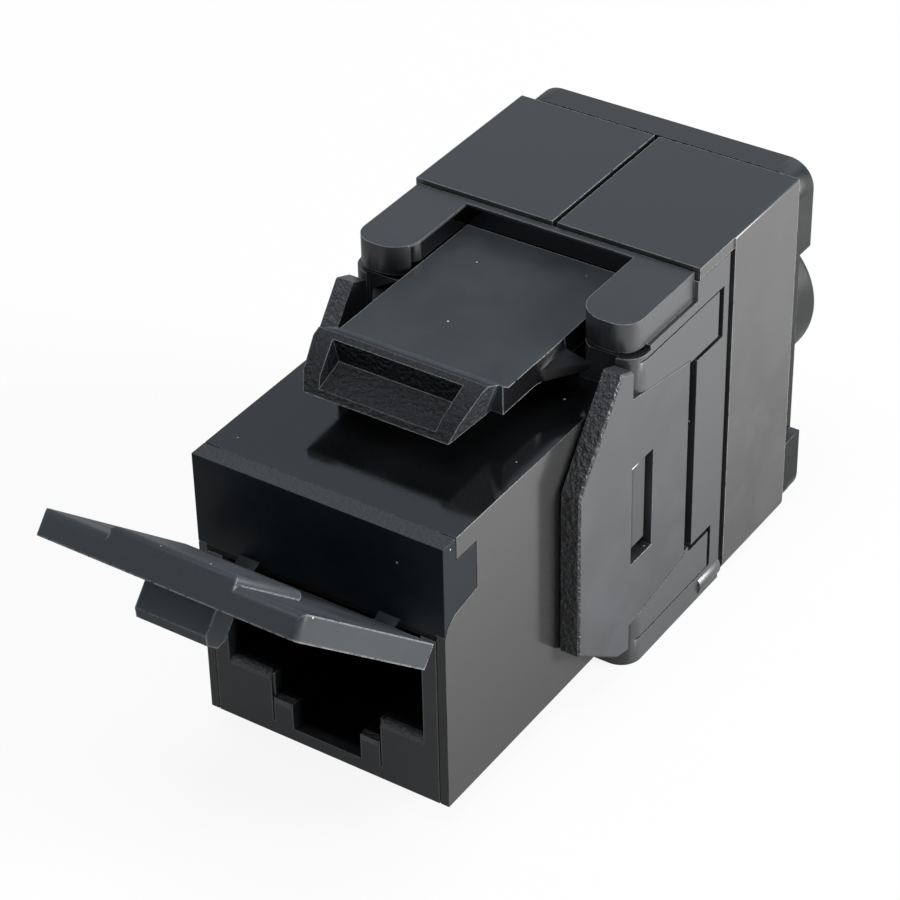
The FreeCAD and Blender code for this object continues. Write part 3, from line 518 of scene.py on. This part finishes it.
# Painted highlight on the shoulders' front tops, with a coarse bump.
SHOULDERS = ((3.3, 5.9, 5.15), (2.05, 3.2, 3.75))
for side in (-1, 1):
    for near_x, far_x, rim_z in SHOULDERS:
        low_x, high_x = sorted((side * near_x, side * far_x))
        rim = zone(PORT, (low_x, port_y - 1, rim_z - 0.42), (high_x, port_y + 0.55, rim_z + 0.1), 0.12)
        overlay(PORT, rim, (0.060, 0.063, 0.066), 0.45, 0.2, 0.2)
print("port: inside, scuffed rim and", 2 * len(SHOULDERS), "shoulders")

# %% [markdown]
# The frame's sides are given a paler colour than its top, which is painted light, and the
# pocket that the tongue lies in is painted nearly black, which is painted shade. The
# order matters: each overlay covers the ones before it.

# %% Frame surfaces
ring_y = low_mm("keystone_frame").y
overlay(SATIN, wear_and_highlight(SATIN, 0.06, 0.3, 0.6), (0.34, 0.35, 0.36), 0.5)
# Painted light: a paler colour on the faces that look sideways.
for side in (-1, 1):
    overlay(SATIN, facing(SATIN, (side, 0, 0), 0.7, 0.95), (0.038, 0.039, 0.041), 0.37)
# Painted shade in the pocket under the tongue.
pocket_shade = zone(SATIN, (-5.2, ring_y - 0.3, ROOF),
              (5.2, ring_y + 5.9, high_mm("keystone_frame").z - 0.12), 0.05)
overlay(SATIN, pocket_shade, (0.001, 0.001, 0.001), 0.06)
print("frame: wear, sides and pocket")

# %% [markdown]
# The covers' tops are given a darker colour than their sides, which is painted shade, and
# the cap's top a paler one than the rest of it, which is painted light. A facing mask
# along z sets each apart without cutting the piece.

# %% Cover and cap surfaces
# Painted shade on the covers' tops.
overlay(COVER, facing(COVER, (0, 0, 1), 0.7, 0.95), (0.0145, 0.015, 0.016), 0.36)
overlay(COVER, wear_and_highlight(COVER, 0.07, 0.3, 0.65), (0.36, 0.36, 0.36), 0.5)
# Painted light on the cap's top.
overlay(CAP, facing(CAP, (0, 0, 1), 0.7, 0.95), (0.040, 0.043, 0.047), 0.4)
overlay(CAP, wear_and_highlight(CAP, 0.06, 0.3, 0.5), (0.20, 0.21, 0.21), 0.5)
print("covers and cap: tops and wear")

# %% [markdown]
# The sleeve's sides are given a paler colour than its roof, which is painted light. The
# flap is the piece that fingers touch, so its edges are whitened most, and wider still
# in a band along its hinge.

# %% Sleeve and flap surfaces
# Painted light on the sleeve's sides.
for side in (-1, 1):
    overlay(GLOSS, facing(GLOSS, (side, 0, 0), 0.7, 0.95), (0.030, 0.030, 0.030), 0.16)
overlay(GLOSS, wear_and_highlight(GLOSS, 0.05, 0.4, 0.5), (0.20, 0.205, 0.21), 0.4)
overlay(FLAP, wear_and_highlight(FLAP, 0.20, 0.30, 0.62), (0.19, 0.20, 0.21), 0.65, 0.08, 0.2)
flap_y, flap_z = high_mm("dust_flap").y, low_mm("dust_flap").z
hinge = zone(FLAP, (-6.5, flap_y - 1.5, flap_z), (6.5, flap_y, flap_z + 2.6), 0.2)
overlay(FLAP, both(FLAP, hinge, wear_and_highlight(FLAP, 0.5, 0.22, 0.85)), (0.26, 0.27, 0.28), 0.7, 0.1, 0.2)
print("sleeve and flap: sides and wear")

# %% [markdown]
# Inside are the parts that carry the signal: gold-plated contact springs, tinned bronze
# blades that bite through the wires' sleeves, and a green circuit board between them.
# The hinge pins are steel. A metal is all reflection, so its colour goes in the base
# colour and only its roughness varies. The board is coated, so it is made as a plastic.

# %% Metals and board
def metal(name, colour, rough):
    material = bpy.data.materials.new(name)
    material.use_nodes = True
    tree = material.node_tree
    shader = tree.nodes["Principled BSDF"]
    shader.inputs["Metallic"].default_value = 1.0
    shader.inputs["Base Color"].default_value = (*colour, 1)
    marks = place_group(tree.nodes, HANDLING, Patch=0.8, Low=rough, High=rough + 0.15)
    tree.links.new(marks.outputs["Roughness"], shader.inputs["Roughness"])
    return material


GOLD = metal("plated gold", (0.83, 0.60, 0.25), 0.18)
TIN = metal("tinned bronze", (0.62, 0.62, 0.60), 0.28)
STEEL = metal("pin steel", (0.42, 0.42, 0.43), 0.3)
BOARD = plastic("solder mask green", (0.015, 0.09, 0.04), 0.25, 0.35, share=0.0)
print("metals and board ready")

# %% [markdown]
# A moulded edge is never perfectly sharp. A Bevel modifier on each CAD piece gives a
# real rounded edge a few hundredths of a millimetre wide, which is what draws the thin
# bright line along black parts. The pieces arrive as triangles, so the stack first
# welds them, then dissolves flat triangles into whole faces, then bevels. A Weighted
# Normal modifier comes last, so that large flat faces stay evenly shaded up to the edge.

# %% Soften a piece
def soften(piece, material, edge=0.06, angle=32, segments=2):
    for slot in piece.material_slots:
        slot.material = material
    piece.data.polygons.foreach_set("use_smooth", [True] * len(piece.data.polygons))
    weld = piece.modifiers.new("weld", "WELD")
    weld.merge_threshold = 0.001 * MM
    flat = piece.modifiers.new("whole faces", "DECIMATE")
    flat.decimate_type = "DISSOLVE"
    flat.angle_limit = math.radians(0.6)
    if edge:
        bevel = piece.modifiers.new("soft edges", "BEVEL")
        bevel.width = edge * MM
        bevel.segments = segments
        bevel.limit_method = "ANGLE"
        bevel.angle_limit = math.radians(angle)
    shade = piece.modifiers.new("even shading", "WEIGHTED_NORMAL")
    shade.weight = 100
    return piece


for name, finish, edge in (
        ("front_housing", GLOSS, 0.05), ("port_insert", PORT, 0.06), ("front_panel", PANEL, 0.05),
        ("dust_flap", FLAP, 0.08), ("keystone_frame", SATIN, 0.09), ("latch_lever", LATCH, 0.09),
        ("right_side_clip", CLIP, 0.07), ("left_side_clip", CLIP, 0.07), ("right_cover", COVER, 0.09),
        ("left_cover", COVER, 0.09), ("rear_cap", CAP, 0.07), ("contact_carrier", INNER, 0.03),
        ("circuit_board", BOARD, 0.03), ("idc_block", INNER, 0.05), ("flap_hinge_pin", STEEL, 0.03),
        ("right_cover_pin", STEEL, 0.03), ("left_cover_pin", STEEL, 0.03)):
    soften(frame["nodes"][name], finish, edge)
for name in frame["nodes"]:
    if name.startswith("contact_spring"):
        soften(frame["nodes"][name], GOLD, 0.02)
    if "idc_blade" in name:
        soften(frame["nodes"][name], TIN, 0.02)
print("softened", len(frame["nodes"]), "pieces")

# %% [markdown]
# The tongue's top is one straight strip: the barbs at its sides lie a step lower and
# fall away outwards. The solid has them level, which is enough for its collision. Here
# a copy of the piece is cut along the strip's two edges and the barbs' tops are lowered,
# which keeps every other point where the solid has it.

# %% Latch with lowered barbs
STRIP_HALF = 4.92
STEP_RUN = 0.08
BARB_SURE = 5.5
LIP_RUN = 4.3


def lowered_barbs(drop=0.55, slope=0.25):
    source = frame["nodes"]["latch_lever"]
    mesh = source.data.copy()
    mesh.name = "latch"
    piece = bpy.data.objects.new("latch", mesh)
    bpy.context.scene.collection.objects.link(piece)
    shape = bmesh.new()
    shape.from_mesh(mesh)
    bmesh.ops.remove_doubles(shape, verts=shape.verts, dist=0.001 * MM)
    strip = STRIP_HALF * MM
    for side in (-1, 1):
        bmesh.ops.bisect_plane(shape, geom=shape.verts[:] + shape.edges[:] + shape.faces[:],
                               plane_co=(side * strip, 0, 0), plane_no=(1, 0, 0), dist=0.0001 * MM)
    top = max(v.co.z for v in shape.verts if abs(v.co.x) > BARB_SURE * MM)
    for side in (-1, 1):
        bmesh.ops.bisect_plane(shape, geom=shape.verts[:] + shape.edges[:] + shape.faces[:],
                               plane_co=(side * (strip + STEP_RUN * MM), 0, 0), plane_no=(1, 0, 0),
                               dist=0.0001 * MM)
    moved = 0
    for vert in shape.verts:
        out = abs(vert.co.x) - strip
        behind_lip = vert.co.y > (lip_y + LIP_RUN) * MM
        if out > 0.01 * MM and vert.co.z > top - 0.02 * MM and behind_lip:
            vert.co.z -= (drop + slope * out / MM) * MM
            moved += 1
    shape.to_mesh(mesh)
    shape.free()
    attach(piece, "latch")
    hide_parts("latch_lever")
    return piece, moved


latch_piece, moved_points = lowered_barbs()
soften(latch_piece, LATCH, 0.09)
print("latch barbs lowered at", moved_points, "points")

# %% [markdown]
# The studio is a white floor that runs off into white. The floor's own shader keeps the
# soft contact shadow but lifts the rest to white for the camera. In reflections it glows
# more towards +x, because black gloss shows what surrounds it, and this gives the
# right-hand faces something pale to reflect.

# %% Floor
GLOW_SPAN = (6.0, 27.0)
GLOW_BASE = 0.38
GLOW_RISE = 0.90


def stage_material(name, white, mix, gloss_mix):
    material = bpy.data.materials.new(name)
    material.use_nodes = True
    tree = material.node_tree
    shader = tree.nodes["Principled BSDF"]
    shader.inputs["Base Color"].default_value = (white, white, white, 1)
    shader.inputs["Roughness"].default_value = 0.9
    glow = tree.nodes.new("ShaderNodeEmission")
    split = tree.nodes.new("ShaderNodeSeparateXYZ")
    tree.links.new(object_mm(tree), split.inputs[0])
    aside = smooth_step(tree, split.outputs[0], *GLOW_SPAN)
    path = tree.nodes.new("ShaderNodeLightPath")
    pale = math_node(tree, "MULTIPLY_ADD", aside, GLOW_RISE, GLOW_BASE)
    level = tree.nodes.new("ShaderNodeMix")
    level.data_type = "FLOAT"
    level.inputs["B"].default_value = 1.0
    tree.links.new(path.outputs["Is Camera Ray"], level.inputs["Factor"])
    tree.links.new(pale, level.inputs["A"])
    tree.links.new(level.outputs["Result"], glow.inputs["Strength"])
    gloss = math_node(tree, "MULTIPLY", path.outputs["Is Glossy Ray"], gloss_mix)
    share = math_node(tree, "MULTIPLY_ADD", path.outputs["Is Camera Ray"], mix, gloss)
    blend = tree.nodes.new("ShaderNodeMixShader")
    tree.links.new(share, blend.inputs[0])
    tree.links.new(shader.outputs[0], blend.inputs[1])
    tree.links.new(glow.outputs[0], blend.inputs[2])
    tree.links.new(blend.outputs[0], tree.nodes["Material Output"].inputs["Surface"])
    return material


def floor():
    mesh = bpy.data.meshes.new("floor")
    shape = bmesh.new()
    bmesh.ops.create_grid(shape, x_segments=8, y_segments=8, size=1.5)
    shape.to_mesh(mesh)
    shape.free()
    piece = bpy.data.objects.new("floor", mesh)
    piece.location.z = cad_box[0][2] - 0.01 * MM
    bpy.context.scene.collection.objects.link(piece)
    mesh.materials.append(stage_material("white floor", 0.9, 0.9, 0.85))
    return piece


floor()
print("floor at", round(cad_box[0][2] / MM, 2), "mm")

# %% [markdown]
# The world could be one plain colour, but black plastic then turns flat. Here it gives a
# dim grey light, shows a bluish grey in reflections, which the tops mirror, and is white
# for the camera. Three large soft lamps shape the part. The right one is much the
# strongest, and it stands low so that it reaches the sides.

# %% World and lamps
def world():
    scene = bpy.context.scene
    scene.world = bpy.data.worlds.new("studio")
    scene.world.use_nodes = True
    tree = scene.world.node_tree
    path = tree.nodes.new("ShaderNodeLightPath")
    soft = tree.nodes["Background"]
    soft.inputs["Color"].default_value = (0.25, 0.26, 0.27, 1)
    seen = None
    for ray, colour in (("Is Glossy Ray", (0.52, 0.59, 0.67, 1)),
                        ("Is Transmission Ray", (1, 1, 1, 1)),
                        ("Is Camera Ray", (1, 1, 1, 1))):
        back = tree.nodes.new("ShaderNodeBackground")
        back.inputs["Color"].default_value = colour
        blend = tree.nodes.new("ShaderNodeMixShader")
        tree.links.new(path.outputs[ray], blend.inputs[0])
        tree.links.new((seen or soft).outputs[0], blend.inputs[1])
        tree.links.new(back.outputs[0], blend.inputs[2])
        seen = blend
    tree.links.new(seen.outputs[0], tree.nodes["World Output"].inputs["Surface"])


def lamp(name, azimuth, elevation, distance, size, power):
    """A square area lamp that faces the jack from a direction round it."""
    data = bpy.data.lights.new(name, "AREA")
    data.size = size
    data.energy = power
    piece = bpy.data.objects.new(name, data)
    az, el = math.radians(azimuth), math.radians(elevation)
    way = Vector((math.sin(az) * math.cos(el), -math.cos(az) * math.cos(el), math.sin(el)))
    piece.matrix_world = (Matrix.Translation(CAMERA_TARGET + way * distance)
                          @ (-way).to_track_quat("-Z", "Y").to_matrix().to_4x4())
    bpy.context.scene.collection.objects.link(piece)


world()
lamp("top", 10, 80, 0.6, 0.3, 1.5)
lamp("left", -50, 45, 0.6, 0.35, 0.3)
lamp("right", 118, 12, 0.6, 0.3, 7.0)
print("lamps:", len(bpy.data.lights))

# %% Finish
bpy.context.scene.view_settings.view_transform = "Standard"
